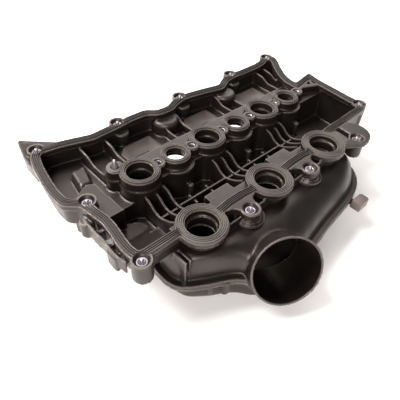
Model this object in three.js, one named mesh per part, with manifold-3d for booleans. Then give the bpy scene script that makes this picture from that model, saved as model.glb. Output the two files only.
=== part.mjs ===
// Cam cover with built-in intake manifold for one bank of a V6 engine.
// Millimetres. The cover lies on its outer face with the gasket face up (+Z);
// X runs along the row of intake ports and Y runs from the ports to the far rail.
// Inside this file the first port is at X = Y = 0 and the gasket face at Z = 0;
// the whole group is moved at the end so that it stands on Z = 0, centred.

import * as THREE from 'three';
import { mergeVertices } from 'three/addons/utils/BufferGeometryUtils.js';
import Module from 'manifold-3d';

const wasm = await Module();
wasm.setup();

// ---------------------------------------------------------------- driving dimensions
const PITCH = 92;                 // cylinder spacing
const CYLINDERS = 3;
const GAP = 0.3;                  // clearance between pieces that touch

const FLANGE_TOP = -1.2;          // plastic face under the gasket
const FLANGE_THICK = 7;
const RAIL_WIDTH = 10;            // gasket rail
const WALL = 3.2;
const FRONT_FLOOR = -48;          // deep trough beside the intake ports
const BACK_FLOOR = -26;           // shallow trough on the far side
const LEDGE_TOP = -12;            // valley roof that carries the row of wells
const STEP_TOP = -15;             // flat shelf over the plenum
const BOTTOM = -88;               // lowest level: plenum foot and well towers

const PORT_BORE = 15.4;
const PORT_THROAT = 13.4;
const PORT_RING = 24.5;
const WELL_ROW_Y = 92;
const BIG_WELL = { bore: 13.9, throat: 12.4, ring: 21, apron: 22, tower: 17.5, step: -11 };
const SMALL_WELL = { bore: 10.2, ring: 16.5, apron: 21 };
const SMALL_WELL_X = 45.5;
const WELL_RELIEF = { wells: 2, radius: 13.5, top: -9 };   // wider bore under the first small wells
const PORT_STEP = -8;             // ports narrow below this level
const CENTRE_SLEEVE_X = [21.6, 67.7];
const CENTRE_SLEEVE = { outer: 4.2, inner: 3.2, sunk: 0.5, boss: 8 };

const BOLTS = [
  [-62.8, 187.5], [30.3, 176.8], [123.3, 176.3], [216.3, 178], [296.2, 181.4], [291.9, 21.1],
  [224.4, -18], [138.8, -15.5], [47, -15.4], [-64.1, 2.4], [-62.4, 89.1],
];
const EAR_BOLTS = [6, 7, 8];      // these stand on ears outside the rail
const BOSS_RADIUS = 9.5;
const BOSS_BOTTOM = -24;
const INNER_BOSS = { bolts: [1, 2, 3], inward: 6, top: -10 };
const COUNTERBORE = { mouth: 6.4, head: 7.4 };
const EAR_DISC = { dx: 3, dy: 2.4, radius: 15.5, thick: 3.5 };
const EAR_RIDGE = { left: 27, right: 40, near: 1, far: 3 };
// Half-outline of an ear, from the rail to its bolt: sideways from the bolt, and Y.
const EAR_LEFT = [[-21, 4], [-20, -4], [-13, -5], [-10, -9.5], [-9.4, -15.5]];
const EAR_RIGHT = [[9.4, -15.5], [10, -12], [12.8, -6], [18.5, -4.5], [21, 4]];
const SLEEVE = { outer: 5, inner: 3.4, top: -3, bottom: -15 };
const BOLT = { shank: 3, flange: 6.2, hexAcross: 8, headTop: -19.3, tip: -0.6 };
const DOWEL = [-16, 112];
const DOWEL_RADIUS = 3.4;
const DOWEL_FOOT = -10;
const BLIND_HOLE = { x: 292, y: 92, radius: 3, boss: 6, floor: -6 };

const SEAM = -50;                 // weld plane of the two manifold shells
const SEAM_FLANGE = { width: 7.5, thick: 4 };
const SHELL = 3;
const PLENUM_TOP = STEP_TOP - WALL - GAP;
const PLENUM_BACK = 20;           // wall of the plenum under the deep trough's edge

const DUCT = {
  mouth: new THREE.Vector3(42, -72.5, -37),
  azimuth: THREE.MathUtils.degToRad(-151),
  rise: THREE.MathUtils.degToRad(25),
  throat: new THREE.Vector3(60, -38, -54),
  sag: 3,
  radius: 36,
  throatRadius: 31,
  wall: 2.4,
};
const DUCT_FACETS = 30;
const BOLT_TUBE = { outer: 11, inner: 8.6 };

const ROUND = 20;                 // facets of a large circle
const SMALL_ROUND = 10;

// ---------------------------------------------------------------- solids and booleans
function solid(geometry) {
  const bare = geometry.clone();
  bare.deleteAttribute('normal');
  bare.deleteAttribute('uv');
  const merged = mergeVertices(bare, 1e-4);
  return new wasm.Manifold(new wasm.Mesh({
    numProp: 3,
    vertProperties: new Float32Array(merged.attributes.position.array),
    triVerts: new Uint32Array(merged.index.array),
  }));
}

function union(parts) {
  return parts.reduce((sum, part) => sum.add(part));
}

function cutAll(body, tools) {
  return tools.reduce((left, tool) => left.subtract(tool), body);
}

function toGeometry(body) {
  const mesh = body.getMesh();
  const geometry = new THREE.BufferGeometry();
  geometry.setAttribute('position', new THREE.BufferAttribute(new Float32Array(mesh.vertProperties), 3));
  geometry.setIndex(new THREE.BufferAttribute(new Uint32Array(mesh.triVerts), 1));
  return geometry;
}

// Upright prism over a plan outline given as [x, y] points.
function prism(points, low, high) {
  const shape = new THREE.Shape(points.map(([x, y]) => new THREE.Vector2(x, y)));
  const geometry = new THREE.ExtrudeGeometry(shape, { depth: high - low, bevelEnabled: false });
  return solid(geometry.translate(0, 0, low));
}

function block(x0, x1, y0, y1, z0, z1) {
  const geometry = new THREE.BoxGeometry(x1 - x0, y1 - y0, z1 - z0);
  return solid(geometry.translate((x0 + x1) / 2, (y0 + y1) / 2, (z0 + z1) / 2));
}

function post(x, y, radius, low, high, facets = SMALL_ROUND) {
  const geometry = new THREE.CylinderGeometry(radius, radius, high - low, facets);
  geometry.rotateX(Math.PI / 2);
  return solid(geometry.translate(x, y, (low + high) / 2));
}

// Body of revolution about a vertical line; the profile is [radius, z] from foot to top.
function turned(x, y, profile, facets = SMALL_ROUND) {
  const geometry = new THREE.LatheGeometry(profile.map(([r, z]) => new THREE.Vector2(r, z)), facets);
  geometry.rotateX(Math.PI / 2);
  return solid(geometry.translate(x, y, 0));
}

// Moves each side of a closed outline sideways by a distance; positive is outward.
function offset(points, distance) {
  const count = points.length;
  return points.map((point, i) => {
    const before = points[(i + count - 1) % count];
    const after = points[(i + 1) % count];
    const a = new THREE.Vector2(point[0] - before[0], point[1] - before[1]).normalize();
    const b = new THREE.Vector2(after[0] - point[0], after[1] - point[1]).normalize();
    const normal = new THREE.Vector2(a.y + b.y, -a.x - b.x).normalize();
    const mitre = distance / Math.max(0.5, normal.dot(new THREE.Vector2(a.y, -a.x)));
    return [point[0] + normal.x * mitre, point[1] + normal.y * mitre];
  });
}

// Flat strip of even width along an open path.
function strip(path, width, low, high) {
  const half = width / 2;
  const sides = [half, -half].map((shift) => path.map((point, i) => {
    const from = path[Math.max(0, i - 1)];
    const to = path[Math.min(path.length - 1, i + 1)];
    const along = new THREE.Vector2(to[0] - from[0], to[1] - from[1]).normalize();
    return [point[0] + along.y * shift, point[1] - along.x * shift];
  }));
  return prism([...sides[0], ...sides[1].reverse()], low, high);
}

// Closed skin through stacked plan outlines that all have the same number of points.
function loft(levels) {
  const ring = levels[0].points.length;
  const positions = [];
  const index = [];
  for (const { points, z } of levels) {
    for (const [x, y] of points) {
      positions.push(x, y, z);
    }
  }
  for (let level = 0; level + 1 < levels.length; level += 1) {
    for (let i = 0; i < ring; i += 1) {
      const a = level * ring + i;
      const b = level * ring + ((i + 1) % ring);
      index.push(a, b, b + ring, a, b + ring, a + ring);
    }
  }
  const last = (levels.length - 1) * ring;
  const outline = (points) => points.map(([x, y]) => new THREE.Vector2(x, y));
  for (const [a, b, c] of THREE.ShapeUtils.triangulateShape(outline(levels[0].points), [])) {
    index.push(c, b, a);
  }
  for (const [a, b, c] of THREE.ShapeUtils.triangulateShape(outline(levels.at(-1).points), [])) {
    index.push(last + a, last + b, last + c);
  }
  const geometry = new THREE.BufferGeometry();
  geometry.setAttribute('position', new THREE.Float32BufferAttribute(positions, 3));
  geometry.setIndex(index);
  return solid(geometry);
}

// Evenly spaced points on a smooth closed curve through the given ones.
function smoothLoop(points, count) {
  const curve = new THREE.CatmullRomCurve3(
    points.map(([x, y]) => new THREE.Vector3(x, y, 0)), true, 'centripetal',
  );
  return curve.getPoints(count).slice(0, count).map((p) => [p.x, p.y]);
}

function perCylinder(make) {
  return Array.from({ length: CYLINDERS }, (_, i) => make(i * PITCH, i)).flat();
}

// ---------------------------------------------------------------- outline of the gasket rail
// Centre line of the rail, counter-clockwise from the near left corner.
const RAIL = [
  [-64, 6], [-24, 6], [0, 4], [24, 1], [36, 3], [56, 3], [68, 1], [92, 4],
  [116, 1], [128, 3], [148, 3], [160, 1], [184, 4], [207, 12], [285, 14], [291, 22],
  [291, 34], [293, 55], [296, 90], [300, 106], [264, 100], [265, 116], [271, 130],
  [284, 150], [296, 165], [300, 173], [296, 181], [288, 179], [277, 174], [262, 172], [230, 172],
  [217, 173], [200, 171], [182, 161], [156, 167], [135, 171], [123, 172], [107, 168],
  [98, 163], [84, 163], [77, 165], [68, 173], [45, 174], [30, 172], [8, 171],
  [-6, 170], [-38, 180], [-62, 184], [-69, 178], [-74, 160], [-78, 135], [-80, 115],
  [-79, 100], [-66, 88], [-64, 70], [-62, 58], [-63, 45], [-66, 26], [-66, 15],
];

const WELLS = perCylinder((x) => [
  { x, y: WELL_ROW_Y, big: true },
  { x: x + SMALL_WELL_X, y: WELL_ROW_Y - 1, big: false },
]);
const CENTRE_SLEEVES = perCylinder((x) => CENTRE_SLEEVE_X.map((dx) => [x + dx, WELL_ROW_Y - 1.5]));
const PORTS = perCylinder((x) => [[x, 0]]);

const inner = offset(RAIL, -WALL / 2);
const outer = offset(RAIL, WALL / 2);

// ---------------------------------------------------------------- cover shell
const VALLEY_NEAR = 79;           // deep trough ends here
const VALLEY_FAR = 122;           // shallow trough starts here
const POCKET_RIGHT = -4;          // the left end pocket lies beyond the valley
const DOWEL_APRON = 10.5;
const SHELF_FAR = PLENUM_BACK + GAP + WALL;
const SHELF_LEFT = -19;
const SHELF_RIGHT = 208;
const STEP_PAD = { left: 34, right: 66, far: 33 };   // flat pad behind two ports
const RAMP = { start: 8, end: 80, high: -24 };       // sloping floor at the near left corner

// Space of the cavity between two heights, limited to a strip of the plan.
function cavity(x0, x1, y0, y1, low) {
  return prism(inner, low, 1).intersect(block(x0, x1, y0, y1, low, 1));
}

const FAR = 400;

// Prism along X over a side outline given as [y, z] points.
function profileAlongX(outline, x0, x1) {
  const shape = new THREE.Shape(outline.map(([y, z]) => new THREE.Vector2(y, z)));
  const geometry = new THREE.ExtrudeGeometry(shape, { depth: x1 - x0, bevelEnabled: false });
  geometry.rotateX(Math.PI / 2);
  geometry.rotateZ(Math.PI / 2);
  return solid(geometry.translate(x0, 0, 0));
}

// Space below the sloping underside of the near left corner, raised by a skin thickness.
function underRamp(skin, right) {
  const foot = FRONT_FLOOR - WALL + skin;
  const head = RAMP.high + skin;
  const outline = [[-FAR, -FAR], [RAMP.end, -FAR], [RAMP.end, foot], [RAMP.start, head], [-FAR, head]];
  return profileAlongX(outline, -FAR, right);
}

function stepPads(inset, low, high) {
  return [0, 1].map((i) => block(
    i * PITCH + STEP_PAD.left + inset, i * PITCH + STEP_PAD.right - inset,
    0, STEP_PAD.far - inset, low, high,
  ));
}

function rawShell() {
  const hull = prism(outer, FRONT_FLOOR - WALL, FLANGE_TOP)
    .subtract(underRamp(0, SHELF_LEFT - WALL));
  const aprons = WELLS.map(({ x, y, big }) => post(
    x, y, (big ? BIG_WELL : SMALL_WELL).apron, FRONT_FLOOR - 1, LEDGE_TOP, ROUND,
  ));
  const portSleeves = PORTS.map(([x, y]) => post(x, y, PORT_BORE + WALL, FRONT_FLOOR - 1, 2, ROUND));
  const deep = cutAll(cavity(-FAR, FAR, -FAR, VALLEY_NEAR, FRONT_FLOOR), [
    ...aprons,
    block(SHELF_LEFT, SHELF_RIGHT, -FAR, SHELF_FAR, -FAR, STEP_TOP),
    ...stepPads(0, -FAR, STEP_TOP),
    underRamp(WALL, SHELF_LEFT),
    ...portSleeves,
  ]);
  const ledge = cavity(POCKET_RIGHT, FAR, VALLEY_NEAR - 1, VALLEY_FAR + 1, LEDGE_TOP);
  const shallow = cavity(-FAR, FAR, VALLEY_FAR, FAR, BACK_FLOOR);
  const endPocket = cutAll(
    cavity(-FAR, POCKET_RIGHT, VALLEY_NEAR - 1, VALLEY_FAR + 1, BACK_FLOOR),
    [
      post(0, WELL_ROW_Y, BIG_WELL.apron, -FAR, LEDGE_TOP, ROUND),
      post(...DOWEL, DOWEL_APRON, -FAR, LEDGE_TOP),
    ],
  );
  return cutAll(hull, [deep, ledge, shallow, endPocket]);
}

// Raised corner beside the left bolt, open from below.
const PLATEAU = [[-60, 66], [-38, 66], [-40, 114], [-48, 118], [-72, 104]];
const PLATEAU_TOP = -11;

function plateauHollow() {
  return prism(offset(PLATEAU, -WALL), -FAR, PLATEAU_TOP - WALL);
}

// Material below the thin floors, removed from the outer side.
function undersideCuts() {
  const valleyRoof = LEDGE_TOP - WALL;
  return [
    block(POCKET_RIGHT, FAR, VALLEY_FAR - WALL - 1, FAR, -FAR, BACK_FLOOR - WALL),
    block(-FAR, POCKET_RIGHT + WALL, VALLEY_NEAR + WALL, FAR, -FAR, BACK_FLOOR - WALL),
    block(POCKET_RIGHT + WALL, FAR, VALLEY_NEAR + WALL, VALLEY_FAR - WALL, -FAR, valleyRoof),
    block(SHELF_LEFT - WALL, SHELF_RIGHT + WALL, -FAR, SHELF_FAR - WALL, -FAR, STEP_TOP - WALL),
    ...stepPads(WALL, -FAR, STEP_TOP - WALL),
    plateauHollow(),
    ...WELLS.map(({ x, y, big }) => post(
      x, y, (big ? BIG_WELL : SMALL_WELL).apron - WALL, -FAR, valleyRoof, ROUND,
    )),
  ];
}

function railBand() {
  const low = FLANGE_TOP - FLANGE_THICK;
  return prism(offset(RAIL, RAIL_WIDTH / 2), low, FLANGE_TOP)
    .subtract(prism(offset(RAIL, -RAIL_WIDTH / 2), low - 1, 2));
}

// Each boss reaches down to the underside of the floor beside it.
function boltBosses() {
  const shallow = BACK_FLOOR - WALL;
  const bottoms = [
    ...Array(5).fill(shallow), FRONT_FLOOR - WALL, BOSS_BOTTOM, BOSS_BOTTOM, BOSS_BOTTOM,
    BOSS_BOTTOM, BACK_FLOOR - WALL,
  ];
  return BOLTS.map(([x, y], i) => post(x, y, BOSS_RADIUS, bottoms[i], FLANGE_TOP, 14));
}

// Round ports with their ears for the two bolts between them.
function portFlange() {
  const low = FLANGE_TOP - FLANGE_THICK;
  const rings = PORTS.map(([x, y]) => post(x, y, PORT_RING, low, FLANGE_TOP, ROUND));
  const stubs = PORTS.map(([x, y]) => post(x, y, PORT_BORE + WALL, STEP_TOP - WALL, low + 1, ROUND));
  const ears = [BOLTS[8], BOLTS[7]].flatMap(([x, y]) => [
    prism([...EAR_LEFT, ...EAR_RIGHT].map(([dx, py]) => [x + dx, py]), low, FLANGE_TOP),
    post(
      x + EAR_DISC.dx, y + EAR_DISC.dy, EAR_DISC.radius, STEP_TOP - WALL,
      STEP_TOP - WALL + EAR_DISC.thick, ROUND,
    ),
    block(
      x - EAR_RIDGE.left, x + EAR_RIDGE.right, y + EAR_RIDGE.near, y + EAR_RIDGE.far,
      STEP_TOP - WALL, low + 1,
    ),
  ]);
  return [...rings, ...stubs, ...ears];
}

// Wide ear at the right end with a window beside its bolt.
const END_EAR = {
  dx: 4,
  dy: 9,
  radius: 21,
  plate: [[200, -16], [224, -30], [240, 10], [206, 16]],
  window: [[205, -12], [223, -11], [225, 7.5], [206, 8]],
};

function endEar() {
  const low = FLANGE_TOP - FLANGE_THICK;
  const [x, y] = BOLTS[6];
  return post(x + END_EAR.dx, y + END_EAR.dy, END_EAR.radius, low, FLANGE_TOP, ROUND)
    .add(prism(END_EAR.plate, low, FLANGE_TOP))
    .subtract(prism(END_EAR.window, low - 1, 2));
}

// Strips that join the wells into one chain, which forks round a blind hole at its right end.
const CHAIN = {
  start: [0, 92],
  end: [229, 91],
  width: 9,
  fork: [268, 95],
  tips: [[294, 103], [294, 84]],
  forkWidth: 7,
  dowelWidth: 12,
};

// The row of wells: a chain-shaped plate on the valley roof, and the long well towers.
function wellChain() {
  const low = LEDGE_TOP - 1;
  const top = FLANGE_TOP;
  const plates = WELLS.map(({ x, y, big }) => post(x, y, big ? BIG_WELL.ring : SMALL_WELL.ring, low, top, ROUND));
  const bosses = CENTRE_SLEEVES.map(([x, y]) => post(x, y, CENTRE_SLEEVE.boss, LEDGE_TOP - WALL, top));
  const webs = [
    strip([CHAIN.start, CHAIN.end], CHAIN.width, low, top),
    strip([CENTRE_SLEEVES.at(-1), CHAIN.fork, CHAIN.tips[0]], CHAIN.forkWidth, low, top),
    strip([CHAIN.fork, CHAIN.tips[1]], CHAIN.forkWidth, low, top),
    post(...DOWEL, BOSS_RADIUS, LEDGE_TOP - WALL, top),
    strip([DOWEL, CHAIN.start], CHAIN.dowelWidth, low, top),
    post(BLIND_HOLE.x, BLIND_HOLE.y, BLIND_HOLE.boss, FLANGE_TOP - FLANGE_THICK, top),
  ];
  const towers = perCylinder((x) => post(x, WELL_ROW_Y, BIG_WELL.tower, BOTTOM, LEDGE_TOP, ROUND));
  return [...plates, ...bosses, ...webs, ...towers];
}

// Rib across a trough; the crest is a list of [y, z] and the foot stands on the floor.
const RIB_THICK = 2.2;

function crossRib(x, crest, floor) {
  const outline = [...crest, [crest.at(-1)[0], floor], [crest[0][0], floor]];
  return profileAlongX(outline, x - RIB_THICK / 2, x + RIB_THICK / 2);
}

const DEEP_CREST = [
  [26, -16], [34, -22], [43, -26.5], [50, -28.5], [57, -27], [65, -20], [71, -18], [83, -17],
];
const SHALLOW_CREST = [
  [120, -13], [128, -15.5], [137, -16], [145, -15], [152, -10.5], [160, -9], [170, -8.5],
];
const DEEP_RIB_X = [-9, 3, 15];
const SHALLOW_RIB_X = [-23.5, 6, 77.5, 101, 168, 190, 259, 276];
// Rib along the deep trough; it is lower where it passes between the cross ribs.
const LONG_RIB = { y: 50, half: 1, top: -28.6, low: -31, stubs: [34, 58], stubReach: 7 };

function ribs() {
  const foot = FRONT_FLOOR - 1;
  const crossDeep = perCylinder((x) => DEEP_RIB_X.map((dx) => crossRib(x + dx, DEEP_CREST, foot)));
  const crossShallow = SHALLOW_RIB_X.map((x) => crossRib(x, SHALLOW_CREST, BACK_FLOOR - 1));
  const { y, half, top, low, stubs, stubReach } = LONG_RIB;
  const [first, , last] = DEEP_RIB_X;
  const lengthways = [0, 1].flatMap((i) => [
    block(i * PITCH + last, (i + 1) * PITCH + first, y - half, y + half, foot, top),
    ...stubs.map((x) => block(
      i * PITCH + x, i * PITCH + x + 2 * half, y - stubReach, y + stubReach, foot, low,
    )),
  ]);
  const short = perCylinder((x) => block(x + first, x + last, y - half, y + half, foot, low));
  return [union([...crossDeep, ...crossShallow, ...lengthways, ...short])
    .intersect(prism(RAIL, foot, FLANGE_TOP))];
}

// Rounded pads against the far wall: half-outline of the dome as [radius, z].
const PADS = {
  xs: [86, 186],
  y: 160,
  dome: [[0, -27], [16, -27], [16, -19], [14, -14], [10, -11], [0, -9]],
};
const BUMP = { plan: [[-53, 121], [-38, 123], [-30, 151], [-48, 151]], top: -15 };
const CORNER_DISC = { x: -36, y: 55, radius: 15, low: -42, top: -37, facets: 8 };
const CORNER_STEP = { left: -25, right: -15, near: 33, far: 45, low: -38, top: -34 };
const STUB = { dx: 46.8, y: 67, radius: 3.5, top: -28 };     // peg in front of a small well

// Raised blocks, corner shelf, pegs and half-round pads inside the cavity.
function innerPads() {
  const { left, right, near, far, low, top } = CORNER_STEP;
  const disc = CORNER_DISC;
  return [
    prism(PLATEAU, FRONT_FLOOR - WALL, PLATEAU_TOP).subtract(plateauHollow()),
    prism(BUMP.plan, BACK_FLOOR - 1, BUMP.top),
    post(disc.x, disc.y, disc.radius, disc.low, disc.top, disc.facets),
    block(left, right, near, far, low, top),
    ...PADS.xs.map((x) => turned(x, PADS.y, PADS.dome, ROUND)),
    ...perCylinder((x) => post(x + STUB.dx, STUB.y, STUB.radius, FRONT_FLOOR - 1, STUB.top)),
    ...INNER_BOSS.bolts.map((i) => post(
      BOLTS[i][0], BOLTS[i][1] - INNER_BOSS.inward, BOSS_RADIUS,
      BACK_FLOOR - WALL, INNER_BOSS.top, ROUND,
    )),
  ];
}

// Bracket wing behind the far left corner: a plate with a deep skirt along its outer side.
const WING = {
  plan: [[-75, 160], [-66, 178], [-31, 184], [-68, 218], [-76, 186], [-77, 166]],
  low: -9.1,
  top: -4.9,
  wall: 3,
  skirt: { path: [[-76.5, 161], [-76, 186], [-69, 217]], low: -22, top: -4.7 },
  web: { path: [[-69.3, 216.4], [-50, 198], [-33, 182]], low: -20, top: -4.5 },
};

function wing() {
  const edges = [WING.skirt, WING.web];
  return [
    prism(WING.plan, WING.low, WING.top),
    ...edges.map(({ path, low, top }) => strip(path, WING.wall, low, top)),
  ];
}

function coverShell() {
  const body = union([
    cutAll(rawShell(), undersideCuts()),
    railBand(),
    ...boltBosses(),
    ...portFlange(),
    endEar(),
    ...wellChain(),
    ...ribs(),
    ...innerPads(),
    ...wing(),
  ]);
  const boltHoles = BOLTS.flatMap(([x, y]) => [
    post(x, y, SLEEVE.outer + GAP, -FAR, 2),
    post(x, y, COUNTERBORE.mouth, SLEEVE.top, 2),
    post(x, y, COUNTERBORE.head, -FAR, SLEEVE.bottom - GAP),
  ]);
  const ports = PORTS.flatMap(([x, y]) => [
    post(x, y, PORT_BORE, PORT_STEP, 2, ROUND),
    post(x, y, PORT_THROAT, STEP_TOP - 10, 2, ROUND),
  ]);
  const wells = WELLS.flatMap(({ x, y, big }) => (big
    ? [
      post(x, y, BIG_WELL.bore, BIG_WELL.step, 2, ROUND),
      post(x, y, BIG_WELL.throat, BOTTOM - 1, 2, ROUND),
    ]
    : [post(x, y, SMALL_WELL.bore, LEDGE_TOP - 10, 2, ROUND)]));
  const reliefs = WELLS.filter(({ big }) => !big).slice(0, WELL_RELIEF.wells)
    .map(({ x, y }) => post(x, y, WELL_RELIEF.radius, -FAR, WELL_RELIEF.top, ROUND));
  const sleeves = CENTRE_SLEEVES.map(([x, y]) => post(x, y, CENTRE_SLEEVE.outer + GAP, -FAR, 2));
  const dowelHole = post(...DOWEL, DOWEL_RADIUS + GAP, DOWEL_FOOT - 1, 2);
  const blindHole = post(BLIND_HOLE.x, BLIND_HOLE.y, BLIND_HOLE.radius, BLIND_HOLE.floor, 2);
  return cutAll(body, [
    ...boltHoles, ...ports, ...wells, ...reliefs, ...sleeves, dowelHole, blindHole, plenumBody(-GAP),
    seamRim(SEAM_FLANGE.width + GAP, SEAM - SEAM_FLANGE.thick - GAP, SEAM + SEAM_FLANGE.thick + GAP),
  ]);
}

// ---------------------------------------------------------------- intake manifold
// Plan outlines of the plenum, point for point, at its roof, its weld seam and its foot.
const PLENUM_PLAN = {
  roof: [
    [-22, PLENUM_BACK], [20, PLENUM_BACK], [70, PLENUM_BACK], [130, PLENUM_BACK], [204, PLENUM_BACK],
    [206, 8], [206, -8], [202, -18], [160, -21], [125, -22], [98, -22], [70, -22], [45, -22],
    [24, -22], [8, -22], [-12, -19], [-22, -9], [-24, 6],
  ],
  seam: [
    [-33, PLENUM_BACK], [20, PLENUM_BACK], [70, PLENUM_BACK], [130, PLENUM_BACK], [204, PLENUM_BACK],
    [214, 8], [229, -4], [219, -27], [196, -42], [125, -54], [98, -59], [70, -64], [45, -64],
    [26, -56], [10, -38], [-18, -22], [-34, -10], [-37, 6],
  ],
  foot: [
    [-6, 16], [20, 16], [70, 16], [130, 16], [190, 16],
    [200, 6], [204, -6], [198, -20], [180, -32], [125, -44], [98, -50], [70, -56], [48, -56],
    [30, -50], [18, -36], [-8, -18], [-16, -8], [-17, 4],
  ],
};
const PLAN_POINTS = 36;

function planBetween(from, to, share) {
  return from.map(([x, y], i) => [x + (to[i][0] - x) * share, y + (to[i][1] - y) * share]);
}

// Plenum body, smaller all round by a skin thickness.
function plenumBody(skin) {
  const plan = Object.fromEntries(Object.entries(PLENUM_PLAN).map(
    ([name, points]) => [name, offset(smoothLoop(points, PLAN_POINTS), skin).reverse()],
  ));
  const top = PLENUM_TOP - skin;
  const levels = [];
  for (const t of [0, 0.25, 0.5, 0.72, 0.9, 1]) {
    const z = BOTTOM + skin + (SEAM - BOTTOM - skin) * (1 - Math.cos(t * Math.PI / 2));
    levels.push({ z, points: planBetween(plan.foot, plan.seam, Math.sin(t * Math.PI / 2)) });
  }
  for (const t of [0.3, 0.55, 0.75, 0.9, 1]) {
    const z = SEAM + (top - SEAM) * Math.sin(t * Math.PI / 2);
    levels.push({ z, points: planBetween(plan.roof, plan.seam, Math.cos(t * Math.PI / 2)) });
  }
  return loft(levels);
}

// Skin of the inlet duct: rings that turn from the tilted mouth to a level throat.
function ductBody(skin, overrun) {
  const rings = [];
  for (const t of [-overrun, 0, 0.35, 0.6, 0.8, 1]) {
    const bend = Math.max(0, t);
    const azimuth = DUCT.azimuth;
    const rise = DUCT.rise * (1 - bend);
    const axis = new THREE.Vector3(
      Math.cos(rise) * Math.sin(azimuth), Math.cos(rise) * Math.cos(azimuth), Math.sin(rise),
    );
    const side = new THREE.Vector3(0, 0, 1).cross(axis).normalize();
    const up = axis.clone().cross(side);
    const centre = DUCT.mouth.clone().lerp(DUCT.throat, t);
    centre.z -= DUCT.sag * Math.sin(bend * Math.PI);
    const radius = DUCT.radius + (DUCT.throatRadius - DUCT.radius) * bend ** 2 - skin;
    rings.push(Array.from({ length: DUCT_FACETS }, (_, i) => {
      const angle = (i / DUCT_FACETS) * 2 * Math.PI;
      return centre.clone()
        .addScaledVector(side, radius * Math.cos(angle))
        .addScaledVector(up, radius * Math.sin(angle));
    }));
  }
  const positions = rings.flat().flatMap((p) => [p.x, p.y, p.z]);
  const index = [];
  rings.slice(1).forEach((_, level) => {
    for (let i = 0; i < DUCT_FACETS; i += 1) {
      const a = level * DUCT_FACETS + i;
      const b = level * DUCT_FACETS + ((i + 1) % DUCT_FACETS);
      index.push(a, b + DUCT_FACETS, b, a, a + DUCT_FACETS, b + DUCT_FACETS);
    }
  });
  const last = (rings.length - 1) * DUCT_FACETS;
  for (let i = 1; i + 1 < DUCT_FACETS; i += 1) {
    index.push(0, i, i + 1, last, last + i + 1, last + i);
  }
  const geometry = new THREE.BufferGeometry();
  geometry.setAttribute('position', new THREE.Float32BufferAttribute(positions, 3));
  geometry.setIndex(index);
  return solid(geometry);
}

const plenumOuter = plenumBody(0);
const plenumInner = plenumBody(SHELL);
const ductClearance = ductBody(-GAP, 0.5);

// Weld flange round the three open sides of the plenum.
function seamRim(width, low, high) {
  const seam = smoothLoop(PLENUM_PLAN.seam, PLAN_POINTS).reverse();
  const openSides = block(-FAR, FAR, -FAR, 1, low, high)
    .add(block(-FAR, 0, -FAR, PLENUM_BACK - 0.5, low, high));
  return prism(offset(seam, width), low, high).intersect(openSides);
}

// Straight passages through the plenum for the two bolts between the ports.
function boltTubes(radius, z0, z1) {
  return union([BOLTS[7], BOLTS[8]].map(([x, y]) => post(x, y, radius, z0, z1, 16)));
}

// Hollow plenum with its bolt tubes, before it is parted at the seam.
function plenumShell(extras) {
  const hollow = plenumInner.subtract(boltTubes(BOLT_TUBE.outer, -FAR, FAR));
  const skin = union([plenumOuter, ...extras]);
  return cutAll(skin, [hollow, ductClearance, boltTubes(BOLT_TUBE.inner, -FAR, FAR)]);
}

const END_RIB = { xs: [-33, -28], near: -16, far: 1, top: -17 };      // on the left end of the plenum
const PEGS = [
  { x: -13, y: -29, radius: 2.4, low: SEAM - 17 },
  { x: 0, y: -36, radius: 4.6, low: SEAM - 18 },
];

function upperShell() {
  const rim = seamRim(SEAM_FLANGE.width, SEAM + GAP / 2, SEAM + SEAM_FLANGE.thick);
  const { xs, near, far, top } = END_RIB;
  const stiffeners = xs.map((x) => block(x, x + RIB_THICK, near, far, SEAM + 2, top));
  const shell = plenumShell([rim, ...stiffeners]);
  const holes = PORTS.map(([x, y]) => post(x, y, PORT_THROAT, PLENUM_TOP - 8, PLENUM_TOP + 1, ROUND));
  return cutAll(shell, holes).intersect(block(-FAR, FAR, -FAR, FAR, SEAM + GAP / 2, FAR));
}

function lowerShell() {
  const rim = seamRim(SEAM_FLANGE.width, SEAM - SEAM_FLANGE.thick, SEAM - GAP / 2);
  const pegs = PEGS.map(({ x, y, radius, low }) => post(x, y, radius, low, SEAM - 2, SMALL_ROUND));
  const shell = plenumShell([rim, ...pegs]);
  return shell.intersect(block(-FAR, FAR, -FAR, FAR, BOTTOM, SEAM - GAP / 2));
}

function inletDuct() {
  return cutAll(ductBody(0, 0), [ductBody(DUCT.wall, 0.1), plenumBody(SHELL - GAP)]);
}

// ---------------------------------------------------------------- gaskets
const GASKET_BASE = FLANGE_TOP + GAP;
const GASKET_TOP = 0;
const GASKET_WIDTH = 7;
const SEAL_EDGE = 1;              // plastic left bare round the seal
const BORE_EDGE = 0.6;            // seal kept back from a bore
const BOLT_EYE = 6.9;
const PIN_EYE = 5;
const CENTRE_WEB = { end: [252, 90.5], width: 7, dowelWidth: 10 };

function perimeterGasket() {
  const band = prism(offset(RAIL, GASKET_WIDTH / 2), GASKET_BASE, GASKET_TOP)
    .subtract(prism(offset(RAIL, -GASKET_WIDTH / 2), GASKET_BASE - 1, GASKET_TOP + 1));
  const rings = PORTS.map(([x, y]) => post(x, y, PORT_RING - 1.2, GASKET_BASE, GASKET_TOP, ROUND));
  const bores = PORTS.map(([x, y]) => post(x, y, PORT_BORE + BORE_EDGE, GASKET_BASE - 1, GASKET_TOP + 1, ROUND));
  const collars = BOLTS.filter((_, i) => !EAR_BOLTS.includes(i))
    .map(([x, y]) => post(x, y, BOSS_RADIUS - 0.4, GASKET_BASE, GASKET_TOP, 16));
  const bolts = BOLTS.map(([x, y]) => post(x, y, BOLT_EYE, GASKET_BASE - 1, GASKET_TOP + 1));
  return cutAll(union([band, ...rings, ...collars]), [...bores, ...bolts]);
}

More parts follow.
